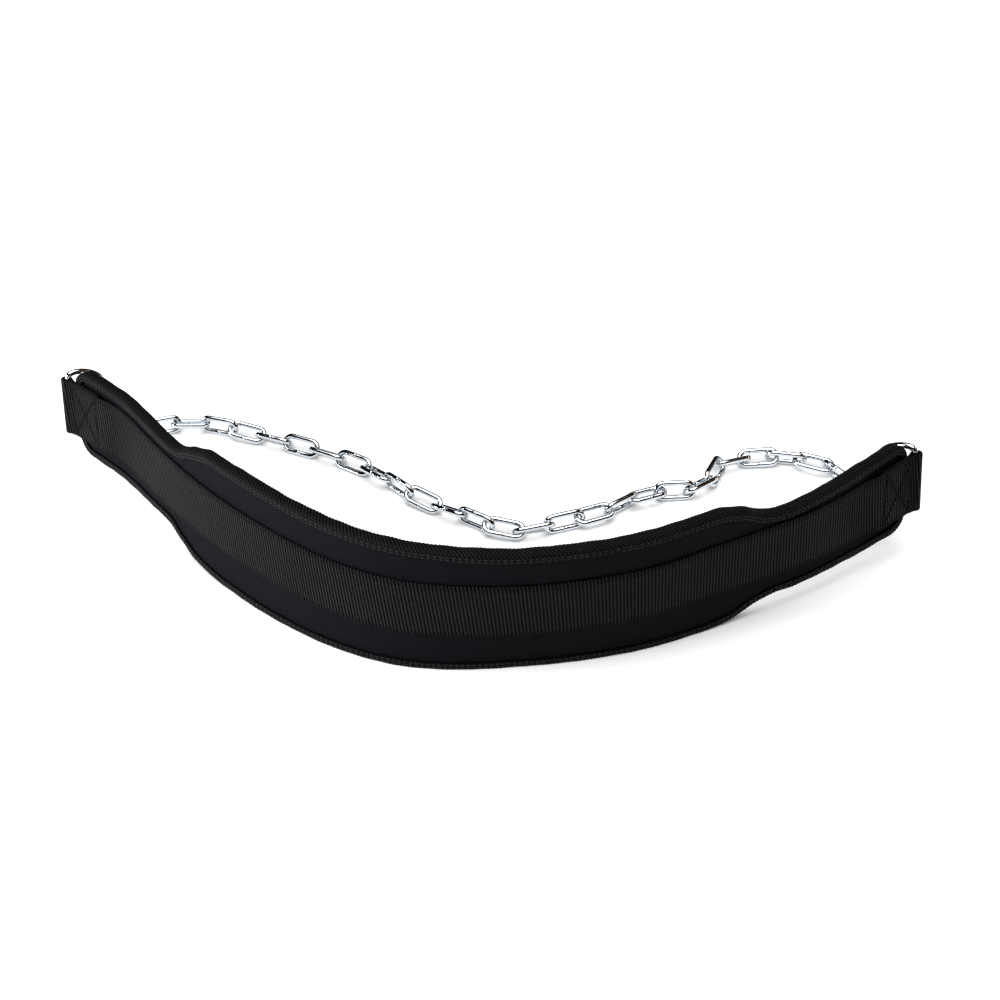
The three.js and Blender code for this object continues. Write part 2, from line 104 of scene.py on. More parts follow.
# D-rings, and how far a packed ring's middle lies off the exact one
RING_WIRE = 0.005
RING_DEPTH = 0.037
RING_CORNER = 0.0045
RING_SIDE_ROOM = 0.0012
RING_OFFSET = 0.00001

# Inner length, width and wire of the chain's links and of the clasp, and the places out from the
# middle of one straight side where the weld and the sleeve change the wire
LINK_SIZES = (0.0271, 0.017, 0.0045)
LINK_PLACES = (0, 0.00035, 0.0008, 0.0015, 0.0026, 0.006)
WELD_WIDTH = 0.0016
WELD_NOTCH = 0.0005
NOTCH_WIDTH = 0.00045
CLASP_SIZES = (0.052, 0.026, 0.005)
CLASP_PLACES = (0, 0.007, 0.00799, 0.008, 0.0086, 0.013)
SLEEVE_RISES = (0.0015, 0.0015, 0.001, 0, 0, 0)

# How the belt bends and leans: share of its length, heading and lean in degrees
BEND_ROWS = (
    (0.00, -31.0, -6.0),
    (0.05, -34.0, -5.8),
    (0.11, -44.0, -5.3),
    (0.18, -41.5, -4.3),
    (0.26, -35.5, -3.2),
    (0.34, -29.5, -1.5),
    (0.42, -18.0, 1.0),
    (0.50, 2.0, 3.8),
    (0.58, 14.5, 6.7),
    (0.66, 23.5, 6.0),
    (0.74, 35.0, 3.8),
    (0.82, 35.3, 1.3),
    (0.90, 46.0, -2.0),
    (1.00, 49.5, -9.0),
)

# Outline of the belt: share of its length, upper and lower edge as shares of the two reaches
OUTLINE_ROWS = (
    (0.000, 0.650, 0.665),
    (0.060, 0.640, 0.690),
    (0.130, 0.655, 0.670),
    (0.165, 0.640, 0.655),
    (0.190, 0.675, 0.790),
    (0.215, 0.830, 0.920),
    (0.250, 0.980, 0.975),
    (0.320, 1.010, 1.000),
    (0.640, 0.970, 1.000),
    (0.750, 0.965, 1.000),
    (0.785, 0.855, 0.940),
    (0.810, 0.680, 0.785),
    (0.835, 0.615, 0.710),
    (0.870, 0.650, 0.705),
    (0.940, 0.675, 0.685),
    (1.000, 0.675, 0.650),
)
HEADING, LEAN = 1, 2
UPPER, LOWER = 1, 2

# Camera and the point it looks at, from the left end of the pad
CAMERA_PLACE = (0.4977, -0.9508, 0.75696)
CAMERA_TARGET = (0.3484, 0.0065, 0.0)
CAMERA_LENS = 54.0


# Curves of the belt

def read_rows(rows, column, share):
    """One column of a table at shares of the length, along smooth curves that don't overshoot."""
    places = np.array([row[0] for row in rows])
    values = np.array([row[column] for row in rows])
    slopes = np.diff(values) / np.diff(places)
    before, after = slopes[:-1], slopes[1:]
    together = before + after
    steady = before * after > 0
    inner = np.where(steady, 2 * before * after / np.where(steady, together, 1), 0)
    tangents = np.concatenate((slopes[:1], inner, slopes[-1:]))
    held = np.clip(share, 0, 1)
    i = np.clip(np.searchsorted(places, held) - 1, 0, len(rows) - 2)
    span = places[i + 1] - places[i]
    t = (held - places[i]) / span
    return (
        (2 * t**3 - 3 * t**2 + 1) * values[i]
        + (t**3 - 2 * t**2 + t) * span * tangents[i]
        + (3 * t**2 - 2 * t**3) * values[i + 1]
        + (t**3 - t**2) * span * tangents[i + 1]
    )


def plan_line(steps=400):
    """Shares of the length, and the belt's outer face seen from above at them."""
    middles = (np.arange(steps) + 0.5) / steps
    heading = np.radians(read_rows(BEND_ROWS, HEADING, middles))
    moves = np.stack((np.cos(heading), np.sin(heading)), 1) * BELT_LENGTH / steps
    return np.linspace(0, 1, steps + 1), np.vstack((np.zeros(2), np.cumsum(moves, 0)))


PLAN_SHARES, PLAN_POINTS = plan_line()


def belt_axes(distance):
    """Origin, way along, way out of the face and way up the face at distances along the belt."""
    distance = np.asarray(distance, float)
    share = distance / BELT_LENGTH
    heading = np.radians(read_rows(BEND_ROWS, HEADING, share))
    lean = np.radians(read_rows(BEND_ROWS, LEAN, share))
    flat = np.zeros_like(heading)
    along = np.stack((np.cos(heading), np.sin(heading), flat), -1)
    level = np.stack((np.sin(heading), -np.cos(heading), flat), -1)
    upright = np.array((0.0, 0.0, 1.0))
    cosine, sine = np.cos(lean)[..., None], np.sin(lean)[..., None]
    up = upright * cosine + level * sine
    outward = level * cosine - upright * sine
    held = np.clip(share, 0, 1)
    height = LOWER_REACH * np.cos(lean) - FLOOR_PRESS
    x = np.interp(held, PLAN_SHARES, PLAN_POINTS[:, 0])
    y = np.interp(held, PLAN_SHARES, PLAN_POINTS[:, 1])
    beyond = distance - np.clip(distance, 0, BELT_LENGTH)
    origin = np.stack((x, y, height), -1) + along * beyond[..., None]
    return origin, along, outward, up


def belt_points(distance, rise, depth):
    """Points at distances along the belt, rises up its face and depths out of its face."""
    distance, rise, depth = np.broadcast_arrays(distance, rise, depth)
    origin, _, outward, up = belt_axes(distance)
    points = origin + up * rise[..., None] + outward * depth[..., None]
    points[..., 2] = np.maximum(points[..., 2], 0)
    return points


def edge_reach(side, distance):
    """How far the belt reaches above or below the middle of its band, with rounded corners."""
    full = UPPER_REACH if side == UPPER else LOWER_REACH
    reach = read_rows(OUTLINE_ROWS, side, distance / BELT_LENGTH) * full
    from_end = np.minimum(distance, BELT_LENGTH - distance)
    short = np.maximum(CORNER_RADIUS - from_end, 0)
    return reach - CORNER_RADIUS + np.sqrt(np.maximum(CORNER_RADIUS**2 - short**2, 0))


def stations(corner_steps, straight_steps):
    """Distances along the belt, closer together in its rounded corners."""
    quarter = np.linspace(0, np.pi / 2, corner_steps + 1)[:-1]
    corner = CORNER_RADIUS * (1 - np.cos(quarter))
    straight = np.linspace(CORNER_RADIUS, BELT_LENGTH - CORNER_RADIUS, straight_steps + 1)
    return np.concatenate((corner, straight, BELT_LENGTH - corner[::-1]))


def edge_points(distances):
    """The belt's edge over the top and back along the bottom, and the way in from it."""
    upper = np.stack((distances, edge_reach(UPPER, distances)), 1)
    lower = np.stack((distances, -edge_reach(LOWER, distances)), 1)
    line = np.vstack((upper, lower[::-1]))
    return line, ways_in(line)


def unit(vectors):
    """Vectors in rows, each brought to a length of one."""
    return vectors / np.linalg.norm(vectors, axis=1)[:, None]


def clockwise(ways):
    """Flat ways in rows, turned clockwise by a quarter."""
    return np.stack((ways[:, 1], -ways[:, 0]), 1)


def lengths_walked(line):
    """How far along a line each of its points lies."""
    return np.concatenate(([0], np.cumsum(np.linalg.norm(np.diff(line, axis=0), axis=1))))


def ways_in(line):
    """Unit steps in from each point of a closed clockwise line."""
    leave = unit(np.roll(line, -1, 0) - line)
    return clockwise(unit(leave + np.roll(leave, 1, 0)))


def edge_walk(step):
    """The belt's edge in even steps, clockwise from the middle of its left end and back to it.
    Gives the length walked, the points and the ways in from them."""
    line, _ = edge_points(stations(24, 700))
    half = len(line) // 2
    left, right = (0.0, 0.0), (BELT_LENGTH, 0.0)
    line = np.vstack((left, line[:half], right, line[half:], left))
    walked = lengths_walked(line)
    count = round(walked[-1] / step)
    even = np.linspace(0, walked[-1], count + 1)
    points = np.stack((np.interp(even, walked, line[:, 0]), np.interp(even, walked, line[:, 1])), 1)
    inward = ways_in(points[:-1])
    return even, points, np.vstack((inward, inward[:1]))


def ripple(place, lengths, phases):
    """A quiet wave between -1 and 1 made of a few wavelengths, the same in each run."""
    waves = [np.sin(2 * np.pi * place / w + p) for w, p in zip(lengths, phases)]
    return sum(waves) / len(waves)


def band_depths(from_end):
    """Middle of the band's outer layer at distances in from either end of the pad."""
    doubled = TAPE_THICKNESS + 2 * GAP + 1.5 * BAND_THICKNESS
    single = GAP + 0.5 * BAND_THICKNESS
    t = np.clip((from_end - TURN_BACK) / TURN_BACK_RAMP, 0, 1)
    return doubled + (single - doubled) * t * t * (3 - 2 * t)


def sewn_lines():
    """Lines sewn through the band, from and to distances and rises: first its two edges, then
    the crossed box at each end."""
    side = BAND_WIDTH / 2 - SEAM_IN
    lines = [((BOX_NEAR, rise), (BELT_LENGTH - BOX_NEAR, rise)) for rise in (-side, side)]
    for near, far in ((BOX_NEAR, BOX_FAR), (BELT_LENGTH - BOX_NEAR, BELT_LENGTH - BOX_FAR)):
        lines += [
            ((near, -side), (near, side)),
            ((far, -side), (far, side)),
            ((near, -side), (far, side)),
            ((near, side), (far, -side)),
        ]
    return lines


def sewn_grooves(distance, rise):
    """How far sewn lines pull the cloth in at places on it, from 0 to 1."""
    deepest = np.zeros(np.broadcast(distance, rise).shape)
    for number, (start, end) in enumerate(sewn_lines()):
        length = math.dist(start, end)
        way = ((end[0] - start[0]) / length, (end[1] - start[1]) / length)
        from_x, from_y = distance - start[0], rise - start[1]
        along = np.clip(from_x * way[0] + from_y * way[1], 0, length)
        away = np.hypot(from_x - along * way[0], from_y - along * way[1])
        share = 0.6 if number < 2 else 1.0
        deepest = np.maximum(deepest, share * np.exp(-((away / GROOVE_WIDTH) ** 2)))
    return deepest


def rounded(centre, sizes, degrees):
    """Points on an oval arc round a centre, at angles from its first axis."""
    return [
        (centre[0] + sizes[0] * math.cos(angle), centre[1] + sizes[1] * math.sin(angle))
        for angle in np.radians(degrees)
    ]


# Meshes

def new_piece(name, points, faces, material):
    """A mesh object of the belt from points in metres in the frame, riding on the root body."""
    mesh = bpy.data.meshes.new(name)
    mesh.from_pydata(np.asarray(points).tolist(), [], faces)
    mesh.validate()
    mesh.polygons.foreach_set("use_smooth", [True] * len(mesh.polygons))
    mesh.materials.append(material)
    piece = bpy.data.objects.new(name, mesh)
    bpy.context.scene.collection.objects.link(piece)
    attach(piece, "root")
    return piece


def new_body(name, rows, material, capped=False, joins_rows=False):
    """A piece from rows of points round a body, with its faces turned outward."""
    count, sides = rows.shape[:2]
    faces = grid_faces(count, sides, joins_rows)
    if capped:
        faces += end_caps(count, sides)
    piece = new_piece(name, rows.reshape(-1, 3), faces, material)
    turn_outward(piece)
    return piece


def grid_faces(rows, sides, joins_rows=False):
    """Four-sided faces between rows of points round a body."""
    i = np.arange(rows if joins_rows else rows - 1)[:, None]
    j = np.arange(sides)[None, :]
    k = (j + 1) % sides
    n = (i + 1) % rows
    faces = np.stack((i * sides + j, n * sides + j, n * sides + k, i * sides + k), -1)
    return faces.reshape(-1, 4).tolist()


def end_caps(rows, sides):
    """Flat faces over the first and last row of points."""
    last = (rows - 1) * sides
    return [list(range(sides)), list(range(last + sides - 1, last - 1, -1))]


def turn_outward(piece):
    """Turns the faces of a closed mesh so that they point out of it."""
    work = bmesh.new()
    work.from_mesh(piece.data)
    bmesh.ops.recalc_face_normals(work, faces=work.faces)
    work.to_mesh(piece.data)
    work.free()


def keep_places(piece, places, crease_shades):
    """Stores where each point lies along and across the cloth, and how deep it lies in a
    crease, for the weaves to read and to darken as painted shade."""
    attribute = piece.data.attributes.new("cloth_place", "FLOAT_VECTOR", "POINT")
    attribute.data.foreach_set("vector", np.asarray(places, np.float32).ravel())
    # The crease depth is kept for the weaves to darken as painted shade.
    attribute = piece.data.attributes.new("painted_crease_shade", "FLOAT", "POINT")
    attribute.data.foreach_set("value", np.asarray(crease_shades, np.float32).ravel())


def strip_places(length, across, shape):
    """Places along and across a strip of cloth, one for each point of its rows."""
    flat, wide = np.broadcast_to(length, shape), np.broadcast_to(across, shape)
    return np.stack((flat, wide, np.zeros(shape)), -1)


def pad_rows():
    """Rows of points round the foam core, and which of them are held by seams or tape."""
    distances = stations(8, 210)
    line, inward = edge_points(distances)
    count = len(distances)
    top, bottom = line[:count], line[count:][::-1]
    top_in, bottom_in = inward[:count], inward[count:][::-1]
    inset = TAPE_THICKNESS + GAP
    soft = PAD_THICKNESS / 4
    low = bottom + bottom_in * (TAPE_REACH - TAPE_LAP)
    high = top + top_in * (TAPE_REACH - TAPE_LAP)
    seam_low = np.maximum(-BAND_WIDTH / 2 - SEAM_ROOM, low[:, 1] * 0.82)
    seam_high = np.minimum(BAND_WIDTH / 2 + SEAM_ROOM, high[:, 1] * 0.82)
    rises, held = [], []
    parts = ((low[:, 1], seam_low, 7), (seam_low, seam_high, 9), (seam_high, high[:, 1], 7))
    for part, (start, end, steps) in enumerate(parts):
        for step in range(steps):
            rises.append(start + (end - start) * step / steps)
            held.append(part == 1 or step == 0)
    rises.append(high[:, 1])
    held.append(True)
    columns = [bottom + bottom_in * (inset + soft)]
    for rise in rises:
        share = (rise - low[:, 1]) / (high[:, 1] - low[:, 1])
        columns.append(np.stack((low[:, 0] + (high[:, 0] - low[:, 0]) * share, rise), 1))
    columns.append(top + top_in * (inset + soft))
    front_held = [True, *held, True]
    back_held = [True, True, *([False] * (len(held) - 2)), True, True]
    seam_rise = BAND_WIDTH / 2 - SEAM_IN
    section, flags = [], []
    for column, pinned in zip(columns, front_held):
        section.append((column, np.zeros(count)))
        flags.append(np.full(count, pinned))
    for depth in (-soft, -PAD_THICKNESS / 2, soft - PAD_THICKNESS):
        section.append((top + top_in * inset, np.full(count, depth)))
        flags.append(np.full(count, True))
    for column, pinned in zip(columns[::-1], back_held[::-1]):
        away = np.abs(np.abs(column[:, 1]) - seam_rise)
        groove = BACK_SEAM_DEPTH * np.exp(-((away / BACK_SEAM_WIDTH) ** 2))
        section.append((column, groove - PAD_THICKNESS))
        flags.append((away < BACK_SEAM_HELD) | pinned)
    for depth in (soft - PAD_THICKNESS, -PAD_THICKNESS / 2, -soft):
        section.append((bottom + bottom_in * inset, np.full(count, depth)))
        flags.append(np.full(count, True))
    flat = np.stack([place for place, _ in section], 1)
    depth = np.stack([depth for _, depth in section], 1)
    return belt_points(flat[..., 0], flat[..., 1], depth), np.stack(flags, 1)


def pad_shift():
    """Step from the belt's own axes to the frame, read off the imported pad."""
    rows, _ = pad_rows()
    points = rows.reshape(-1, 3)
    low, high = (np.array(corner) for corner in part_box("belt_pad"))
    middle = (points.min(0) + points.max(0)) / 2
    shift = (low + high) / 2 - middle
    shift[2] = 0
    return shift


SHIFT = pad_shift()


def swell(piece, held, limit, pressure=4.0, frames=20):
    """Lets a padded piece swell under a light pressure, held along its seams, and keeps how it
    settles. No point moves further than the limit."""
    scene = bpy.context.scene
    count = len(piece.data.vertices)
    start = np.empty(count * 3)
    piece.data.vertices.foreach_get("co", start)
    seams = piece.vertex_groups.new(name="seams")
    seams.add(np.flatnonzero(held).tolist(), 1.0, "REPLACE")
    cloth = piece.modifiers.new("Swell", "CLOTH")
    cloth.settings.quality = 4
    cloth.settings.mass = 0.2
    cloth.settings.tension_stiffness = 20
    cloth.settings.compression_stiffness = 20
    cloth.settings.bending_stiffness = 2
    cloth.settings.vertex_group_mass = "seams"
    cloth.settings.use_pressure = True
    cloth.settings.uniform_pressure_force = pressure
    cloth.settings.effector_weights.gravity = 0
    cloth.point_cache.frame_start = 1
    cloth.point_cache.frame_end = frames
    for number in range(1, frames + 1):
        scene.frame_set(number)
    settled = piece.evaluated_get(bpy.context.evaluated_depsgraph_get())
    end = np.empty(count * 3)
    settled.to_mesh().vertices.foreach_get("co", end)
    settled.to_mesh_clear()
    piece.modifiers.remove(cloth)
    scene.frame_set(1)
    start, end = start.reshape(-1, 3), end.reshape(-1, 3)
    move = end - start
    length = np.linalg.norm(move, axis=1)[:, None]
    share = limit * np.tanh(length / limit) / np.maximum(length, 1e-9)
    piece.data.vertices.foreach_set("co", (start + move * share).ravel())
    piece.data.update()


def tape_section():
    """Places round the folded tape as steps in from the belt's edge and depths, and how many of
    them lie on its outside."""
    front = GAP + TAPE_THICKNESS
    back = -(PAD_THICKNESS + GAP + TAPE_THICKNESS)
    flat = (0.0026, 0.0040, TAPE_SEAM, TAPE_REACH - TAPE_HEM)
    fold = (TAPE_FOLD, TAPE_FOLD)
    section = [(TAPE_REACH, front - TAPE_HEM)]
    section += [(into, front) for into in flat[::-1]]
    section += rounded((TAPE_FOLD, front - TAPE_FOLD), fold, (110, 140, 175))
    section += [(0.0, (front + back) / 2)]
    section += rounded((TAPE_FOLD, back + TAPE_FOLD), fold, (185, 220, 250))
    section += [(into, back) for into in flat]
    section.append((TAPE_REACH, back + TAPE_HEM))
    outside = len(section)
    section += [
        (TAPE_REACH, back + TAPE_THICKNESS),
        (TAPE_THICKNESS, back + TAPE_THICKNESS),
        (TAPE_THICKNESS, front - TAPE_THICKNESS),
        (TAPE_REACH, front - TAPE_THICKNESS),
    ]
    return np.array(section), outside


def tape_rows(sizes):
    """Rows of points round the folded tape, their places along and across it, and how deep they
    lie in its seams and beside its hems, kept as a mask of painted shade."""
    walked, points, inward = edge_walk(sizes.tape_pitch / 5)
    section, outside = tape_section()
    across = np.zeros(len(section))
    across[:outside] = lengths_walked(section[:outside])
    proud = np.zeros_like(section)
    proud[:outside] = clockwise(unit(np.gradient(section[:outside], axis=0)))
    length = walked[:, None]
    into, depth = section[None, :, 0], section[None, :, 1]
    slanted = (length + TAPE_SLANT * across[None, :]) / sizes.tape_pitch
    rib = 0.5 + 0.5 * np.cos(2 * np.pi * slanted)
    hem_gap = np.clip((TAPE_REACH - into) / 0.0012, 0, 1)
    stitched = np.exp(-(((into - TAPE_SEAM) / TAPE_SEAM_WIDTH) ** 2))
    stitched = stitched + 0.6 * np.exp(-(((into - TAPE_FOLD_SEAM) / TAPE_SEAM_WIDTH) ** 2))
    pull = TAPE_PULL * stitched * (0.5 + 0.5 * np.cos(2 * np.pi * length / sizes.stitch_pitch))
    raise_by = TAPE_RIB * rib * hem_gap * (1 - 0.8 * stitched) - pull
    free = np.clip((into - 0.0034) / 0.003, 0, 1)
    wander = TAPE_WANDER * ripple(length, (0.047, 0.0283, 0.0131), (0.4, 2.1, 4.0)) * free
    lumps = TAPE_LUMPS * ripple(length, (0.061, 0.034, 0.0197), (1.3, 0.2, 2.9)) * (1 - free)
    into = into + wander + lumps + proud[None, :, 0] * raise_by
    depth = depth + proud[None, :, 1] * raise_by
    place = points[:, None, :] + inward[:, None, :] * into[..., None]
    rows = belt_points(place[..., 0], place[..., 1], np.broadcast_to(depth, place.shape[:2]))
    # Painted shade: the seams and the edges beside the hems are marked to darken the tape's colour.
    crease_shades = np.broadcast_to(0.5 * stitched + 0.6 * (1 - hem_gap), rows.shape[:2])
    return rows, strip_places(length, across[None, :], rows.shape[:2]), crease_shades


def band_path():
    """Middle line of the webbing in distances and depths, round both ring loops, and which of
    its steps lie on the belt's face."""
    radius = RING_WIRE / 2 + GAP + BAND_THICKNESS / 2
    inner = TAPE_THICKNESS + 2 * GAP + BAND_THICKNESS / 2
    tail = [(away, inner) for away in np.linspace(TURN_BACK, BOX_NEAR, 14)]
    turns = np.radians(np.linspace(-48, -330, 24))
    loop = [
        (-LOOP_DISTANCE + radius * math.cos(a), LOOP_DEPTH + radius * math.sin(a)) for a in turns
    ]
    over = np.concatenate(
        (
            np.arange(BOX_NEAR, TURN_BACK + 0.003, 0.0006),
            np.linspace(TURN_BACK + 0.004, BELT_LENGTH / 2, 110),
        )
    )
    face = list(zip(over, band_depths(over)))
    half = np.array(tail + loop + face)
    on_face = np.arange(len(half)) >= len(tail) + len(loop)
    other = half[:-1][::-1].copy()
    other[:, 0] = BELT_LENGTH - other[:, 0]
    return np.vstack((half, other)), np.concatenate((on_face, on_face[:-1][::-1]))


def band_rows(sizes):
    """Rows of points round the webbing band, their places along and across it, and how deep
    they lie in its seams, which also masks painted shade."""
    path, on_face = band_path()
    middle = path.copy()
    middle[1:-1] = (path[:-2] + 2 * path[1:-1] + path[2:]) / 4
    out = -clockwise(unit(np.gradient(middle, axis=0)))
    length = lengths_walked(middle)[:, None]
    half = sizes.band_thickness / 2
    side = BAND_WIDTH / 2 - BAND_EDGE
    rises = np.linspace(-side, side, 49)
    section = [(rise, half) for rise in rises]
    section += rounded((side, 0.0), (BAND_EDGE, half), (60, 30, 0, -30, -60))
    section += [(rise, -half) for rise in rises[::-1]]
    section += rounded((-side, 0.0), (BAND_EDGE, half), (-120, -150, 180, 150, 120))
    rise, offset = np.array(section).T[:, None, :]
    sway = BAND_SWAY * ripple(length, (0.31, 0.17, 0.083), (0.3, 1.9, 2.2))
    sway = sway + BAND_WAVE * np.sign(rise) * ripple(length, (0.021, 0.034), (0.9, 0.1))
    # The crease pulls the band in along its sewn lines and is also kept to darken its colour as
    # painted shade.
    crease = sewn_grooves(middle[:, :1], rise) * on_face[:, None] * (offset > 0)
    offset = offset - GROOVE_DEPTH * crease
    distance = middle[:, :1] + out[:, :1] * offset
    depth = middle[:, 1:] + out[:, 1:] * offset
    rows = belt_points(distance, rise + sway, depth)
    return rows, strip_places(length, rise, rows.shape[:2]), crease


def stitch_meshes(centres, ways, outs, length, width):
    """Points and faces of short sewn threads that dip into the cloth at both ends."""
    sides = 6
    tip, bend = (0.5, 0.25, -0.55), (0.38, 0.8, 0.05)
    shape = ((-tip[0], *tip[1:]), (-bend[0], *bend[1:]), (0.0, 1.0, 0.3), bend, tip)
    side_ways = np.cross(ways, outs)
    angles = np.arange(sides) / sides * 2 * np.pi
    points = []
    for along, thick, lift in shape:
        for angle in angles:
            radius = width / 2 * thick
            points.append(
                centres
                + ways * along * length
                + outs * (radius * math.sin(angle) * 0.8 + lift * width / 2)
                + side_ways * radius * math.cos(angle)
            )
    points = np.stack(points, 1)
    one = grid_faces(len(shape), sides) + end_caps(len(shape), sides)
    per = len(shape) * sides
    faces = []
    for number in range(len(centres)):
        faces += [[index + number * per for index in face] for face in one]
    return points.reshape(-1, 3), faces


def stitch_run(start, end, pitch):
    """Even places from start to end, in distances and rises, and the way that they run."""
    start, end = np.array(start), np.array(end)
    length = np.linalg.norm(end - start)
    count = max(int(length / pitch), 1)
    shares = (np.arange(count) + 0.5) / count
    places = start + (end - start) * shares[:, None]
    way = np.broadcast_to((end - start) / length, places.shape)
    return places, way


def stitches_on_belt(places, ways, depths, faces_out):
    """Centres, ways and outward axes in the frame for stitches on the belt's front or back."""
    centres = belt_points(places[:, 0], places[:, 1], depths)
    _, along, outward, up = belt_axes(places[:, 0])
    turned = along * ways[:, :1] + up * ways[:, 1:]
    sign = 1.0 if faces_out else -1.0
    return centres, turned, outward * sign


def round_bar(line, radii, sides):
    """Rows of points round a closed line in its own XY plane."""
    across = clockwise(unit(np.roll(line, -1, 0) - np.roll(line, 1, 0)))
    angles = (np.arange(sides) + 0.5) / sides * 2 * np.pi
    out = radii[:, None] * np.cos(angles)[None, :]
    rows = np.empty((len(line), sides, 3))
    rows[..., :2] = line[:, None, :] + across[:, None, :] * out[..., None]
    rows[..., 2] = radii[:, None] * np.sin(angles)[None, :]
    return rows


def both_ways(half, sign):
    """Values out from a middle, after the same ones, or their opposites, on its other side."""
    return np.concatenate((sign * np.array(half)[:0:-1], half))


def oval_rows(sizes, end_steps, half_places, half_rises, sides):
    """Rows of points round an oval link, with steps at places out from the middle of its two
    straight sides, and rises of its wire at those along the first side."""
    inner_length, width, wire = sizes
    places, rises = both_ways(half_places, -1), both_ways(half_rises, 1)
    radius = (width - wire) / 2
    to_centre = (inner_length + wire) / 2 - radius
    ends = np.linspace(-np.pi / 2, np.pi / 2, end_steps + 1)
    right = np.stack((to_centre + radius * np.cos(ends), radius * np.sin(ends)), 1)
    top = np.stack((-places, np.full(len(places), radius)), 1)
    line = np.vstack((right, top))
    line = np.vstack((line, -line))
    radii = np.full(len(line), wire / 2)
    radii[len(right) : len(right) + len(places)] += rises
    return round_bar(line, radii, sides)


def node_axes(name):
    """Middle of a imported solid, its long, middle and short axes, its half sizes along them and
    its points on them."""
    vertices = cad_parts[name].data.vertices
    points = np.empty(len(vertices) * 3)
    vertices.foreach_get("co", points)
    points = np.unique(points.reshape(-1, 3).round(6), axis=0)
    middle = points.mean(0)
    _, _, axes = np.linalg.svd(points - middle)
    if np.linalg.det(axes) < 0:
        axes[2] *= -1
    local = (points - middle) @ axes.T
    low, high = local.min(0), local.max(0)
    middle = middle + ((low + high) / 2) @ axes
    local = (points - middle) @ axes.T
    return middle, axes, (high - low) / 2, local


def ring_line():
    """Middle line of a D-ring: X away from its straight bar, Y along the bar."""
    half = BAND_WIDTH / 2 + RING_SIDE_ROOM + RING_WIRE / 2
    depth = RING_DEPTH - RING_WIRE / 2 - RING_CORNER
    bar = np.linspace(half - RING_CORNER, RING_CORNER - half, 12)
    bar_line = np.stack((np.zeros(len(bar)), bar), 1)
    quarter = np.linspace(np.pi, 1.5 * np.pi, 8)[1:]
    corner = np.stack(
        (RING_CORNER * (1 + np.cos(quarter)), RING_CORNER - half + RING_CORNER * np.sin(quarter)), 1
    )
    bow = np.linspace(-np.pi / 2, np.pi / 2, 48)[1:-1]
    bow_line = np.stack((RING_CORNER + depth * np.cos(bow), half * np.sin(bow)), 1)
    back = corner[::-1] * (1, -1)
    return np.vstack((bar_line, corner, bow_line, back))


# Shader nodes

def node(tree, kind, values=None, **settings):
    """Adds a node, sets it up and fills its inputs with numbers or with other nodes' outputs."""
    made = tree.nodes.new(kind)
    for name, value in settings.items():
        setattr(made, name, value)
    for key, value in (values or {}).items():
        if isinstance(value, bpy.types.NodeSocket):
            tree.links.new(value, made.inputs[key])
        else:
            made.inputs[key].default_value = value
    return made


def maths(tree, operation, *values):
    """Output of a Math node on numbers or other outputs."""
    return node(tree, "ShaderNodeMath", dict(enumerate(values)), operation=operation).outputs[0]


def blend_colours(tree, factor, first, second):
    """Output of a colour mix between two colours by a mask."""
    mix = tree.nodes.new("ShaderNodeMix")
    mix.data_type = "RGBA"
    colours = [socket for socket in mix.inputs if socket.type == "RGBA"]
    for socket, value in ((mix.inputs[0], factor), (colours[0], first), (colours[1], second)):
        if isinstance(value, bpy.types.NodeSocket):
            tree.links.new(value, socket)
        else:
            socket.default_value = value
    return [socket for socket in mix.outputs if socket.type == "RGBA"][0]


def new_group(name, values, outputs):
    """Starts a shader node group that reads a place and named values, and gives its ends."""
    group = bpy.data.node_groups.new(name, "ShaderNodeTree")
    group.interface.new_socket("Place", in_out="INPUT", socket_type="NodeSocketVector")
    for label, value in values.items():
        socket = group.interface.new_socket(label, in_out="INPUT", socket_type="NodeSocketFloat")
        socket.default_value = value
    for label in outputs:
        group.interface.new_socket(label, in_out="OUTPUT", socket_type="NodeSocketFloat")
    given = group.nodes.new("NodeGroupInput").outputs
    wanted = group.nodes.new("NodeGroupOutput").inputs
    return group, given, wanted


def noise(tree, place, scale, detail):
    """Outputs of a noise at places."""
    values = {"Vector": place, "Scale": scale, "Detail": detail}
    return node(tree, "ShaderNodeTexNoise", values).outputs


def vector_maths(tree, operation, values):
    """Output of a Vector Math node on vectors or other outputs."""
    return node(tree, "ShaderNodeVectorMath", values, operation=operation).outputs[0]


def ridges(tree, place, pitch):
    """Round ridges at an even pitch, from 0 in their valleys to 1 on top."""
    share = maths(tree, "FRACT", maths(tree, "DIVIDE", place, pitch))
    return maths(tree, "SINE", maths(tree, "MULTIPLY", share, math.pi))


def woven_ribs(name):
    """Ribs of a weave broken up by the yarns that cross them, from places on the cloth, and a mask
    on their tops for a painted glint.
    """
    values = {
        "Rib Pitch": 0.0026,
        "Yarn Pitch": 0.002,
        "Slant": 0.0,
        "Yarn Dip": 0.5,
        "Unevenness": 0.0001,
    }
    group, given, wanted = new_group(name, values, ["Height", "Crest Glint"])
    uneven = noise(group, given["Place"], 420.0, 1.0)["Color"]
    centred = vector_maths(group, "SUBTRACT", {0: uneven, 1: (0.5, 0.5, 0.5)})
    scaled = vector_maths(group, "SCALE", {0: centred, "Scale": given["Unevenness"]})
    place = vector_maths(group, "ADD", {0: given["Place"], 1: scaled})
    split = node(group, "ShaderNodeSeparateXYZ", {0: place}).outputs
    leaning = maths(group, "MULTIPLY", split["Y"], given["Slant"])
    rib = ridges(group, maths(group, "ADD", split["X"], leaning), given["Rib Pitch"])
    yarn = ridges(group, split["Y"], given["Yarn Pitch"])
    dip = maths(group, "MULTIPLY", maths(group, "SUBTRACT", 1.0, yarn), given["Yarn Dip"])
    kept = maths(group, "SUBTRACT", 1.0, dip)
    height = maths(group, "MULTIPLY", maths(group, "POWER", rib, 1.1), kept)
    group.links.new(height, wanted["Height"])
    # The rib tops are given as a mask that the weave's colour uses for a painted glint.
    group.links.new(maths(group, "POWER", height, 2.5), wanted["Crest Glint"])
    return group


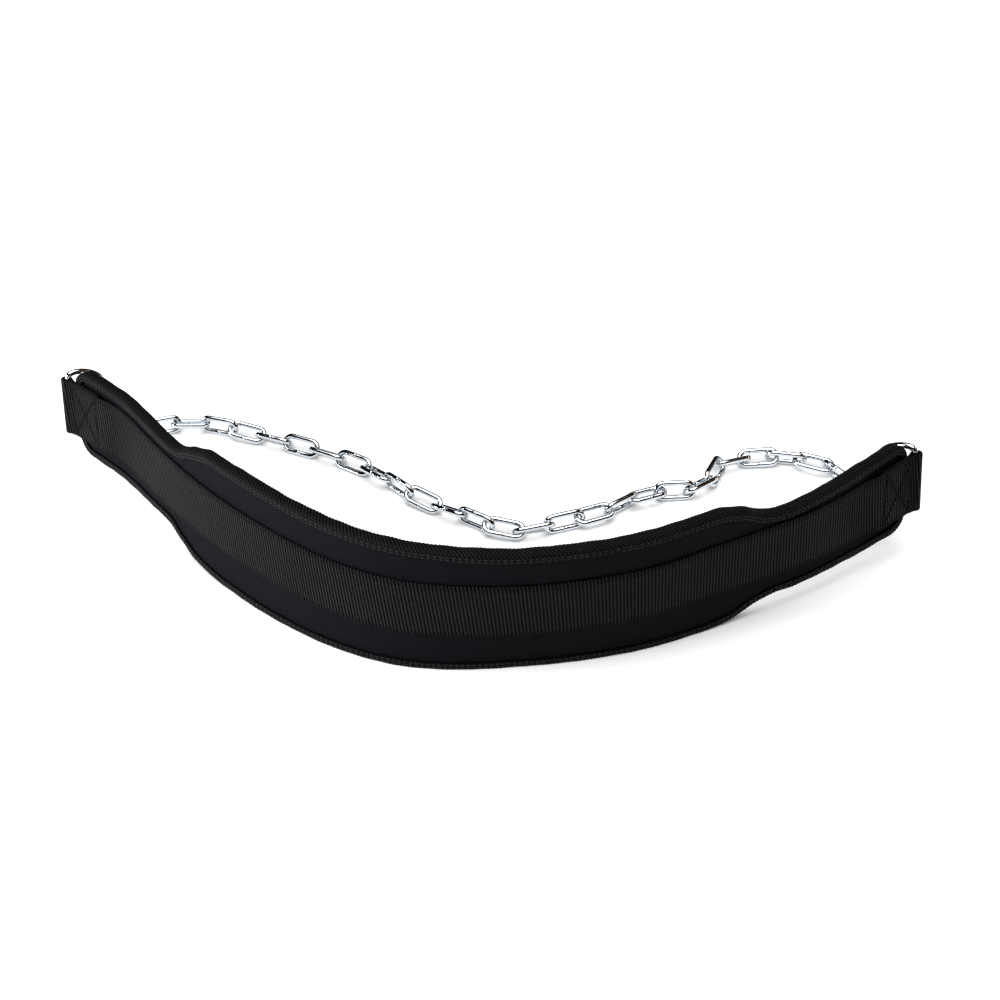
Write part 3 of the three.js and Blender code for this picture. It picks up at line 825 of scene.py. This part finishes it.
def cloth_grain(name):
    """Fine grain of a fabric, its slow changes of shade, and a few specks of lint."""
    values = {"Grain Scale": 1800.0, "Lint Scale": 90.0}
    group, given, wanted = new_group(name, values, ["Grain", "Shade", "Lint"])
    grain = noise(group, given["Place"], given["Grain Scale"], 2.0)["Fac"]
    shade = noise(group, given["Place"], 14.0, 3.0)["Fac"]
    spread = {"Vector": given["Place"], "Scale": given["Lint Scale"]}
    cells = node(group, "ShaderNodeTexVoronoi", spread).outputs
    near = maths(group, "LESS_THAN", cells["Distance"], 0.030)
    parts = node(group, "ShaderNodeSeparateColor", {0: cells["Color"]}).outputs
    chosen = maths(group, "GREATER_THAN", parts[0], 0.90)
    group.links.new(grain, wanted["Grain"])
    group.links.new(shade, wanted["Shade"])
    group.links.new(maths(group, "MULTIPLY", near, chosen), wanted["Lint"])
    return group


def handled_metal(name):
    """Smudges and fine scratches that handling leaves on bright metal."""
    values = {"Smudge Scale": 60.0, "Scratch Scale": 900.0}
    group, given, wanted = new_group(name, values, ["Smudge", "Scratch"])
    smudge = noise(group, given["Place"], given["Smudge Scale"], 4.0)["Fac"]
    drawn = {"Vector": given["Place"], "Scale": (1.0, 0.12, 0.35)}
    squeezed = node(group, "ShaderNodeMapping", drawn).outputs[0]
    scratch = noise(group, squeezed, given["Scratch Scale"], 3.0)["Fac"]
    clear = {"Value": smudge, "From Min": 0.35, "From Max": 0.7}
    spread = node(group, "ShaderNodeMapRange", clear).outputs[0]
    group.links.new(spread, wanted["Smudge"])
    group.links.new(scratch, wanted["Scratch"])
    return group


def shared(tree, name, maker, values):
    """Outputs of a node group that is made once, placed with a material's own values."""
    group = bpy.data.node_groups.get(name) or maker(name)
    return node(tree, "ShaderNodeGroup", values, node_tree=group).outputs


def new_material(name):
    """A new material's node tree and its main shader."""
    material = bpy.data.materials.new(name)
    material.use_nodes = True
    tree = material.node_tree
    return material, tree, tree.nodes["Principled BSDF"]


def object_place(tree):
    """Places on an object in metres."""
    return node(tree, "ShaderNodeTexCoord").outputs["Object"]


def kept_on_cloth(tree, name):
    """What was stored at each point of a strip of cloth."""
    return node(tree, "ShaderNodeAttribute", attribute_name=name).outputs


def darker(colour, share):
    """A colour at a share of its strength."""
    return (colour[0] * share, colour[1] * share, colour[2] * share, 1.0)


def dress(tree, shader, colour, rough, relief):
    """Gives a shader its colour, its roughness from a mask and two ends, and its relief from a
    height, a distance and a strength."""
    tree.links.new(colour, shader.inputs["Base Color"])
    ends = dict(zip(("Value", "To Min", "To Max"), rough))
    spread = node(tree, "ShaderNodeMapRange", ends).outputs[0]
    tree.links.new(spread, shader.inputs["Roughness"])
    raised = node(tree, "ShaderNodeBump", dict(zip(("Height", "Distance", "Strength"), relief)))
    tree.links.new(raised.outputs[0], shader.inputs["Normal"])


def woven_material(name, colour, roughness, ribs, bump, specular, glint_gain):
    """Ribbed black weave: painted shade between its yarns and along each crease, and a painted
    glint on the tops of its ribs.
    """
    material, tree, shader = new_material(name)
    place = kept_on_cloth(tree, "cloth_place")["Vector"]
    weave = shared(tree, "Woven Ribs", woven_ribs, {"Place": place, **ribs})
    spread = {"Place": object_place(tree), "Grain Scale": 2600.0}
    grain = shared(tree, "Cloth Grain", cloth_grain, spread)
    # Painted shade: the colour falls to a twentieth of itself in the valleys between the yarns.
    above = maths(tree, "POWER", weave["Height"], 1.6)
    yarns = blend_colours(tree, above, darker(colour, 0.05), darker(colour, 1.0))
    # Painted glint: the tops of the ribs are lightened many times over by the glint gain.
    bright = maths(tree, "MULTIPLY", weave["Crest Glint"], grain["Grain"])
    glinted_weave = blend_colours(tree, bright, yarns, darker(colour, glint_gain))
    faded = maths(tree, "MULTIPLY", grain["Shade"], 0.35)
    worn = blend_colours(tree, faded, glinted_weave, darker(colour, 0.6))
    # Painted shade: creases, seams and hem edges darken the colour to less than a tenth.
    crease_shade_share = maths(tree, "MULTIPLY", kept_on_cloth(tree, "painted_crease_shade")["Fac"], 0.95)
    sewn = blend_colours(tree, crease_shade_share, worn, darker(colour, 0.08))
    rough = (grain["Grain"], roughness - 0.1, roughness + 0.1)
    fibres = maths(tree, "MULTIPLY", grain["Grain"], 0.18)
    height = maths(tree, "ADD", weave["Height"], fibres)
    dress(tree, shader, sewn, rough, (height, bump, 1.0))
    shader.inputs["Specular IOR Level"].default_value = specular
    return material


def foam_material(colour):
    """Smooth closed foam faced with a fine knit: matte, with a faint blue cast and some lint."""
    material, tree, shader = new_material("Foam Facing")
    spread = {"Place": object_place(tree), "Grain Scale": 3200.0, "Lint Scale": 70.0}
    grain = shared(tree, "Cloth Grain", cloth_grain, spread)
    body = blend_colours(tree, grain["Shade"], darker(colour, 0.85), darker(colour, 1.15))
    knit = maths(tree, "MULTIPLY", grain["Grain"], 0.5)
    fine = blend_colours(tree, knit, body, darker(colour, 0.6))
    lint = maths(tree, "MULTIPLY", grain["Lint"], 0.35)
    speckled = blend_colours(tree, lint, fine, (0.3, 0.3, 0.3, 1.0))
    rough = (grain["Shade"], 0.78, 0.92)
    dress(tree, shader, speckled, rough, (grain["Grain"], 0.00012, 0.6))
    shader.inputs["Specular IOR Level"].default_value = 0.04
    return material


def thread_material(name, colour):
    """Twisted black sewing thread with a little gloss."""
    material, tree, shader = new_material(name)
    spread = {"Place": object_place(tree), "Grain Scale": 1500.0}
    grain = shared(tree, "Cloth Grain", cloth_grain, spread)["Grain"]
    shade = blend_colours(tree, grain, darker(colour, 0.6), darker(colour, 1.4))
    dress(tree, shader, shade, (grain, 0.4, 0.65), (grain, 0.0002, 0.8))
    shader.inputs["Specular IOR Level"].default_value = 0.08
    return material


def steel_material(name, colour, roughness, wear):
    """Bright plated steel with smudges, fine scratches and duller worn spots."""
    material, tree, shader = new_material(name)
    handled = shared(tree, "Handled Metal", handled_metal, {"Place": object_place(tree)})
    worn = maths(tree, "MULTIPLY", handled["Smudge"], wear)
    tint = blend_colours(tree, worn, darker(colour, 1.0), darker(colour, 0.72))
    rough = (handled["Smudge"], roughness, roughness + 0.14 * wear)
    dress(tree, shader, tint, rough, (handled["Scratch"], 0.000006, 0.35 * wear))
    shader.inputs["Metallic"].default_value = 1.0
    return material


def chain_steel(colours):
    """The plated steel that the clasp and the chain's links share."""
    name = "Chain Steel"
    return bpy.data.materials.get(name) or steel_material(name, colours.chain_steel, 0.04, 0.4)


# Settings

class DipBeltSizes(bpy.types.PropertyGroup):
    """Sizes of the details of the pieces."""

    pad_swell: FloatProperty(
        name="Pad swell",
        description="How far the foam may swell between its seams",
        default=0.0012, min=0.0, max=0.003, unit="LENGTH",
    )
    band_thickness: FloatProperty(
        name="Band thickness",
        description="Thickness of the webbing band",
        default=BAND_THICKNESS - 0.0001, min=0.001, max=BAND_THICKNESS, unit="LENGTH",
    )
    rib_pitch: FloatProperty(
        name="Band rib pitch",
        description="Distance between the ribs across the webbing band",
        default=0.0026, min=0.001, max=0.006, unit="LENGTH",
    )
    tape_pitch: FloatProperty(
        name="Tape rib pitch",
        description="Distance between the slanted ribs of the edge tape",
        default=0.0028, min=0.0008, max=0.004, unit="LENGTH",
    )
    stitch_pitch: FloatProperty(
        name="Stitch pitch",
        description="Distance from one stitch to the next",
        default=0.0042, min=0.002, max=0.008, unit="LENGTH",
    )
    thread_width: FloatProperty(
        name="Thread width",
        description="Width of the sewing thread",
        default=0.0008, min=0.0003, max=0.0015, unit="LENGTH",
    )
    weld_size: FloatProperty(
        name="Weld size",
        description="How far the weld in each link stands proud of its wire",
        default=0.00025, min=0.0, max=0.001, unit="LENGTH",
    )
    wire_sides: IntProperty(
        name="Wire sides",
        description="Number of sides round the wire of rings and links",
        default=14, min=6, max=32,
    )


class DipBeltColours(bpy.types.PropertyGroup):
    """Colours of the belt, its metal and the floor."""

    foam: FloatVectorProperty(
        name="Foam",
        description="Colour of the padded core",
        default=(0.0044, 0.0048, 0.0064), min=0.0, max=1.0, subtype="COLOR",
    )
    webbing: FloatVectorProperty(
        name="Webbing",
        description="Colour of the band's yarns",
        default=(0.0027, 0.0029, 0.0032), min=0.0, max=1.0, subtype="COLOR",
    )
    tape: FloatVectorProperty(
        name="Tape",
        description="Colour of the edge tape's yarns",
        default=(0.0032, 0.0034, 0.0036), min=0.0, max=1.0, subtype="COLOR",
    )
    band_thread: FloatVectorProperty(
        name="Band thread",
        description="Colour of the thread that sews the band down",
        default=(0.004, 0.004, 0.004), min=0.0, max=1.0, subtype="COLOR",
    )
    tape_thread: FloatVectorProperty(
        name="Tape thread",
        description="Colour of the thread that sews the tape down",
        default=(0.027, 0.028, 0.029), min=0.0, max=1.0, subtype="COLOR",
    )
    chain_steel: FloatVectorProperty(
        name="Chain steel",
        description="Colour of the chain and clasp",
        default=(0.62, 0.66, 0.70), min=0.0, max=1.0, subtype="COLOR",
    )
    ring_steel: FloatVectorProperty(
        name="Ring steel",
        description="Colour of the D-rings",
        default=(0.74, 0.73, 0.71), min=0.0, max=1.0, subtype="COLOR",
    )
    floor: FloatVectorProperty(
        name="Floor",
        description="Colour of the floor",
        default=(0.92, 0.92, 0.92), min=0.0, max=1.0, subtype="COLOR",
    )


# Operators

class DIPBELT_OT_stage(bpy.types.Operator):
    """Set up the floor, the soft lights and the camera"""

    bl_idname = "dipbelt.stage"
    bl_label = "Set Up Stage"

    def execute(self, context):
        scene = context.scene
        self.make_floor(scene.dipbelt_colours.floor)
        self.make_sky(scene)
        self.make_lights(scene)
        camera = bpy.data.objects.new("camera", bpy.data.cameras.new("camera"))
        scene.collection.objects.link(camera)
        place = Vector(CAMERA_PLACE) + Vector(SHIFT)
        target = Vector(CAMERA_TARGET) + Vector(SHIFT)
        turn = (target - place).to_track_quat("-Z", "Y").to_matrix().to_4x4()
        camera.matrix_world = Matrix.Translation(place) @ turn
        camera.data.lens = CAMERA_LENS
        camera.data.sensor_width = 36.0
        camera.data.clip_end = 50.0
        scene.camera = camera
        scene.view_settings.view_transform = "Standard"
        return {"FINISHED"}

    def make_floor(self, colour):
        """A wide pale floor."""
        reach = 6.0
        mesh = bpy.data.meshes.new("floor")
        signs = ((-1, -1), (1, -1), (1, 1), (-1, 1))
        mesh.from_pydata([(x * reach, y * reach, 0.0) for x, y in signs], [], [(0, 1, 2, 3)])
        material, tree, shader = new_material("Pale Floor")
        cloud = noise(tree, object_place(tree), 3.0, 2.0)["Fac"]
        tone = blend_colours(tree, cloud, darker(colour, 0.99), darker(colour, 1.0))
        tree.links.new(tone, shader.inputs["Base Color"])
        tree.links.new(tone, shader.inputs["Emission Color"])
        shader.inputs["Emission Strength"].default_value = 0.16
        shader.inputs["Roughness"].default_value = 0.85
        shader.inputs["Specular IOR Level"].default_value = 0.1
        mesh.materials.append(material)
        floor = bpy.data.objects.new("floor", mesh)
        bpy.context.scene.collection.objects.link(floor)

    def make_sky(self, scene):
        """A bright ceiling over dark walls, for the metal to mirror."""
        world = bpy.data.worlds.new("studio")
        scene.world = world
        world.use_nodes = True
        tree = world.node_tree
        direction = node(tree, "ShaderNodeTexCoord").outputs["Generated"]
        split = node(tree, "ShaderNodeSeparateXYZ", {0: direction})
        across = {"Value": split.outputs["X"], "From Min": 0.0, "From Max": 0.9}
        side = node(tree, "ShaderNodeMapRange", across).outputs[0]
        walls = blend_colours(tree, side, (0.004, 0.007, 0.010, 1.0), (0.070, 0.040, 0.020, 1.0))
        rise = {"Value": split.outputs["Z"], "From Min": 0.84, "From Max": 0.92}
        above = node(tree, "ShaderNodeMapRange", rise).outputs[0]
        sky = blend_colours(tree, above, walls, (1.0, 1.0, 1.0, 1.0))
        background = tree.nodes["Background"]
        tree.links.new(sky, background.inputs["Color"])
        background.inputs["Strength"].default_value = 1.0

    def make_lights(self, scene):
        """A soft light from the left, a large one overhead and a faint one from the right."""
        rows = (
            ("key", (-1.68, -0.7, 0.5), 0.8, 52.0, (1.0, 1.0, 1.0)),
            ("overhead", (0.0, -0.15, 2.2), 2.4, 66.0, (1.0, 1.0, 1.0)),
            ("fill", (1.8, 0.9, 0.9), 0.5, 3.0, (1.0, 0.80, 0.60)),
        )
        for name, place, size, power, colour in rows:
            light = bpy.data.lights.new(name, "AREA")
            light.shape = "SQUARE"
            light.size = size
            light.energy = power
            light.color = colour
            lamp = bpy.data.objects.new(name, light)
            scene.collection.objects.link(lamp)
            lamp.location = place
            lamp.rotation_euler = (-Vector(place)).to_track_quat("-Z", "Y").to_euler()


class DIPBELT_OT_pad(bpy.types.Operator):
    """Build the foam core and let it swell between its seams"""

    bl_idname = "dipbelt.pad"
    bl_label = "Build Pad"

    def execute(self, context):
        scene = context.scene
        rows, held = pad_rows()
        material = foam_material(scene.dipbelt_colours.foam)
        pad = new_body("padded_core", rows + SHIFT, material, capped=True)
        swell(pad, held.reshape(-1), scene.dipbelt_sizes.pad_swell)
        finer = pad.modifiers.new("Finer", "SUBSURF")
        finer.levels = 1
        finer.render_levels = 1
        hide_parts("belt_pad")
        return {"FINISHED"}


class DIPBELT_OT_tape(bpy.types.Operator):
    """Fold the ribbed tape round the edge of the pad"""

    bl_idname = "dipbelt.tape"
    bl_label = "Build Edge Tape"

    def execute(self, context):
        sizes = context.scene.dipbelt_sizes
        colours = context.scene.dipbelt_colours
        rows, places, crease_shades = tape_rows(sizes)
        ribs = {
            "Rib Pitch": sizes.tape_pitch,
            "Yarn Pitch": 0.0012,
            "Slant": TAPE_SLANT,
            "Yarn Dip": 0.25,
            "Unevenness": 0.00035,
        }
        # The last number lightens the tape's rib tops many times over as a painted glint.
        material = woven_material("Edge Tape", colours.tape, 0.55, ribs, 0.0009, 0.03, 9.0)
        tape = new_body("binding_tape", rows + SHIFT, material)
        keep_places(tape, places, crease_shades)
        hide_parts("edge_binding")
        return {"FINISHED"}


class DIPBELT_OT_band(bpy.types.Operator):
    """Lay the webbing band along the belt and round the bars of both rings"""

    bl_idname = "dipbelt.band"
    bl_label = "Build Webbing Band"

    def execute(self, context):
        sizes = context.scene.dipbelt_sizes
        colours = context.scene.dipbelt_colours
        rows, places, crease_shades = band_rows(sizes)
        ribs = {
            "Rib Pitch": sizes.rib_pitch,
            "Yarn Pitch": 0.0030,
            "Slant": 0.1,
            "Yarn Dip": 0.26,
            "Unevenness": 0.00045,
        }
        # The last number lightens the webbing's rib tops many times over as a painted glint.
        material = woven_material("Webbing", colours.webbing, 0.5, ribs, 0.0015, 0.018, 20.0)
        band = new_body("webbing_band", rows + SHIFT, material, capped=True)
        keep_places(band, places, crease_shades)
        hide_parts("webbing_strap")
        return {"FINISHED"}


class DIPBELT_OT_stitches(bpy.types.Operator):
    """Sew the band and the tape down with rows of thread"""

    bl_idname = "dipbelt.stitches"
    bl_label = "Sew Stitches"

    def execute(self, context):
        sizes = context.scene.dipbelt_sizes
        colours = context.scene.dipbelt_colours
        band = self.band_rows(sizes), thread_material("Band Thread", colours.band_thread)
        tape = self.tape_rows(sizes), thread_material("Tape Thread", colours.tape_thread)
        pieces = (("band_stitches", band, "webbing"), ("tape_stitches", tape, "binding"))
        for name, (rows, material), slot in pieces:
            centres, ways, outs = (np.concatenate(part) for part in zip(*rows))
            length = sizes.stitch_pitch * 0.7
            points, faces = stitch_meshes(centres + SHIFT, ways, outs, length, sizes.thread_width)
            piece = new_piece(name, points, faces, material)
        return {"FINISHED"}

    def band_rows(self, sizes):
        """Stitches along both edges of the band and in its crossed boxes, front and back."""
        rows = []
        for start, end in sewn_lines():
            places, ways = stitch_run(start, end, sizes.stitch_pitch)
            from_end = np.minimum(places[:, 0], BELT_LENGTH - places[:, 0])
            front = band_depths(from_end) + sizes.band_thickness / 2 - GROOVE_DEPTH * 0.5
            rows.append(stitches_on_belt(places, ways, front, True))
            back = np.full(len(places), -PAD_THICKNESS + 0.0001)
            clear = from_end > TAPE_REACH + 0.002
            rows.append(stitches_on_belt(places[clear], ways[clear], back[clear], False))
        return rows

    def tape_rows(self, sizes):
        """Stitches in two rows on each face of the tape, near its free edge and its fold."""
        rows = []
        _, points, inward = edge_walk(sizes.stitch_pitch)
        for seam in (TAPE_SEAM, TAPE_FOLD_SEAM):
            line = points[:-1] + inward[:-1] * seam
            ways = unit(np.roll(line, -1, 0) - np.roll(line, 1, 0))
            beside_band = np.abs(line[:, 1]) > BAND_WIDTH / 2 + 0.001
            from_end = np.minimum(line[:, 0], BELT_LENGTH - line[:, 0])
            seen = beside_band | (from_end > 0.02)
            front = np.full(len(line), GAP + TAPE_THICKNESS + 0.00005)
            back = -PAD_THICKNESS - front
            rows.append(stitches_on_belt(line[seen], ways[seen], front[seen], True))
            rows.append(stitches_on_belt(line, ways, back, False))
        return rows


class DIPBELT_OT_rings(bpy.types.Operator):
    """Bend the two D-rings in the band's loops"""

    bl_idname = "dipbelt.rings"
    bl_label = "Build D-Rings"

    def execute(self, context):
        scene = context.scene
        material = steel_material("Ring Steel", scene.dipbelt_colours.ring_steel, 0.06, 0.6)
        for end in ("left", "right"):
            node_name = f"ring_{end}"
            middle, axes, half, local = node_axes(node_name)
            corners = np.abs(local[:, 0]) > 0.8 * half[0]
            sign = -1.0 if local[corners, 1].mean() > 0 else 1.0
            line = ring_line() - ((RING_DEPTH - RING_WIRE) / 2 + RING_OFFSET, 0.0)
            radii = np.full(len(line), RING_WIRE / 2)
            rows = round_bar(line, radii, scene.dipbelt_sizes.wire_sides + 2)
            rows = middle + rows @ np.stack((sign * axes[1], axes[0], axes[2]))
            ring = new_body(f"d_ring_{end}", rows, material, joins_rows=True)
            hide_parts(node_name)
        return {"FINISHED"}


class DIPBELT_OT_clasp(bpy.types.Operator):
    """Build the oval clasp between the left ring and the chain"""

    bl_idname = "dipbelt.clasp"
    bl_label = "Build Clasp"

    def execute(self, context):
        scene = context.scene
        middle, axes, _, _ = node_axes("chain_clasp")
        sides = scene.dipbelt_sizes.wire_sides + 2
        rows = oval_rows(CLASP_SIZES, 16, CLASP_PLACES, SLEEVE_RISES, sides)
        material = chain_steel(scene.dipbelt_colours)
        clasp = new_body("oval_clasp", middle + rows @ axes, material, joins_rows=True)
        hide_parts("chain_clasp")
        return {"FINISHED"}


class DIPBELT_OT_links(bpy.types.Operator):
    """Bend and weld the links of the chain"""

    bl_idname = "dipbelt.links"
    bl_label = "Build Chain Links"

    def execute(self, context):
        sizes = context.scene.dipbelt_sizes
        material = chain_steel(context.scene.dipbelt_colours)
        places = np.array(LINK_PLACES)
        weld = sizes.weld_size * np.exp(-((places / WELD_WIDTH) ** 2))
        notch = WELD_NOTCH * np.exp(-((places / NOTCH_WIDTH) ** 2))
        rows = oval_rows(LINK_SIZES, 14, places, weld - notch, sizes.wire_sides)
        names = sorted(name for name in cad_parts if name.startswith("chain_link_"))
        if not names:
            raise RuntimeError("the frame has no chain links")
        for number, name in enumerate(names):
            middle, axes, _, _ = node_axes(name)
            flip = 1.0 if number % 3 else -1.0
            turned = axes * np.array((flip, flip, 1.0))[:, None]
            piece_name = name.replace("chain_link", "link")
            link = new_body(piece_name, middle + rows @ turned, material, joins_rows=True)
            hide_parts(name)
        return {"FINISHED"}


class DIPBELT_PT_sidebar(bpy.types.Panel):
    """Lists the steps that build the dip belt, and its settings"""

    bl_idname = "DIPBELT_PT_sidebar"
    bl_label = "Dip Belt"
    bl_space_type = "VIEW_3D"
    bl_region_type = "UI"
    bl_category = "Dip Belt"

    def draw(self, context):
        layout = self.layout
        for step in STEPS:
            layout.operator(step.bl_idname)
        for settings in (context.scene.dipbelt_sizes, context.scene.dipbelt_colours):
            box = layout.box()
            for name in settings.bl_rna.properties.keys():
                if name not in ("rna_type", "name"):
                    box.prop(settings, name)


STEPS = (
    DIPBELT_OT_stage,
    DIPBELT_OT_pad,
    DIPBELT_OT_tape,
    DIPBELT_OT_band,
    DIPBELT_OT_stitches,
    DIPBELT_OT_rings,
    DIPBELT_OT_clasp,
    DIPBELT_OT_links,
)
CLASSES = (DipBeltSizes, DipBeltColours, *STEPS, DIPBELT_PT_sidebar)


def register():
    """Adds the classes and their settings."""
    for kind in CLASSES:
        bpy.utils.register_class(kind)
    bpy.types.Scene.dipbelt_sizes = PointerProperty(type=DipBeltSizes)
    bpy.types.Scene.dipbelt_colours = PointerProperty(type=DipBeltColours)


def unregister():
    """Takes the settings and the classes away again."""
    del bpy.types.Scene.dipbelt_colours
    del bpy.types.Scene.dipbelt_sizes
    for kind in reversed(CLASSES):
        bpy.utils.unregister_class(kind)


def main():
    """Builds the stage and every piece."""
    register()
    bpy.ops.dipbelt.stage()
    bpy.ops.dipbelt.pad()
    bpy.ops.dipbelt.tape()
    bpy.ops.dipbelt.band()
    bpy.ops.dipbelt.stitches()
    bpy.ops.dipbelt.rings()
    bpy.ops.dipbelt.clasp()
    bpy.ops.dipbelt.links()


if __name__ == "__main__":
    main()
